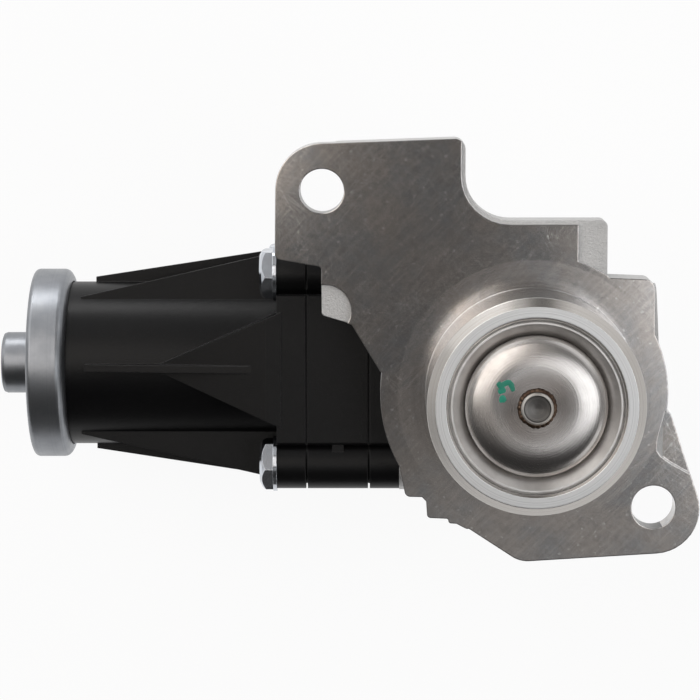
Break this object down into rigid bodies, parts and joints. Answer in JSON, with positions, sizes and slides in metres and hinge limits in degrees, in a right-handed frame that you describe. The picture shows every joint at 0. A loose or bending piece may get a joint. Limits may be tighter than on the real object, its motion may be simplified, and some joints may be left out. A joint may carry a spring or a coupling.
{
  "type": "egr valve",
  "caption": "Electric exhaust gas recirculation valve: poppet in a round spigot on a machined flange, lifted by a geared motor beside it through a spiral cam.",
  "frame": {"origin": "where the valve axis meets the machined flange face", "axes": "+Z out of the flange along the spigot, the motor towards -X with its axis parallel to X, +Y towards the higher bolt lug"},
  "size_m": [0.1493, 0.0869, 0.1058],
  "materials": {
    "body_aluminium": "machined faces on a rough casting",
    "seat_steel": "turned, slightly tan",
    "bronze": "sintered",
    "seal_rubber": "matt",
    "zinc_steel": "bright zinc plate",
    "black_plastic": "fine satin grain",
    "bearing_steel": "ground",
    "board_green": "satin",
    "contact_brass": "bright",
    "magnet_grey": "sintered ferrite",
    "carbon": "pressed carbon",
    "cap_steel": "drawn sheet, satin zinc",
    "core_steel": "stamped and hardened",
    "winding_copper": "enamelled copper",
    "gear_plastic": "natural acetal",
    "valve_steel": "turned, bright",
    "weld_metal": "dark heat tint",
    "spring_steel": "drawn wire"
  },
  "bodies": {
    "housing": {"valve_body": "body_aluminium", "seat_ring": "seat_steel", "guide_bush": "bronze", "stem_seal": "seal_rubber", "shaft_bush": "bronze", "shaft_seal": "seal_rubber", "cam_cover": "body_aluminium", "cam_cover_seal": "seal_rubber", "cam_cover_screws": "zinc_steel", "gear_cover": "black_plastic", "gear_housing": "black_plastic", "joint_seal": "seal_rubber", "housing_screws": "zinc_steel", "output_bearing": "bearing_steel", "gear_pin": "bearing_steel", "sensor_board": "board_green", "motor_housing": "black_plastic", "connector_pins": "contact_brass", "motor_bearing": "bearing_steel", "motor_can": "zinc_steel", "magnets": "magnet_grey", "brush_holder": "board_green", "brushes": "carbon", "motor_end_cap": "cap_steel", "rear_bush": "bronze"},
    "rotor": {"rotor_shaft": "bearing_steel", "armature_core": "core_steel", "windings": "winding_copper", "commutator": "winding_copper", "pinion": "contact_brass"},
    "idler": {"idler_gear": "gear_plastic"},
    "cam_drive": {"output_shaft": "bearing_steel", "output_gear": "gear_plastic", "sensor_magnet": "magnet_grey", "cam_disc": "core_steel"},
    "valve": {"stem": "valve_steel", "poppet": "valve_steel", "weld_bead": "weld_metal", "spring_seat": "zinc_steel", "follower_pin": "bearing_steel", "return_spring": "spring_steel"}
  },
  "joints": [
    {"name": "rotor_spin", "type": "hinge", "parent": "housing", "child": "rotor", "pos_m": [-0.08, 0, -0.05], "axis": [1, 0, 0], "range_deg": [0, 810]},
    {"name": "idler_spin", "type": "hinge", "parent": "housing", "child": "idler", "pos_m": [-0.042, -0.00075, -0.06198], "axis": [1, 0, 0], "range_deg": [-270, 0]},
    {"name": "cam_turn", "type": "hinge", "parent": "housing", "child": "cam_drive", "pos_m": [-0.03, 0, -0.05], "axis": [1, 0, 0], "range_deg": [0, 90]},
    {"name": "valve_lift", "type": "slide", "parent": "housing", "child": "valve", "axis": [0, 0, 1], "range_m": [0, 0.007], "stiffness_N_per_m": 2000, "springref_m": -0.005, "deforming": ["return_spring"]}
  ],
  "couplings": [
    {"joint": "rotor_spin", "follows": "valve_lift", "rad_per_m": 2019.6},
    {"joint": "idler_spin", "follows": "valve_lift", "rad_per_m": -673.2},
    {"joint": "cam_turn", "follows": "valve_lift", "rad_per_m": 224.4}
  ]
}
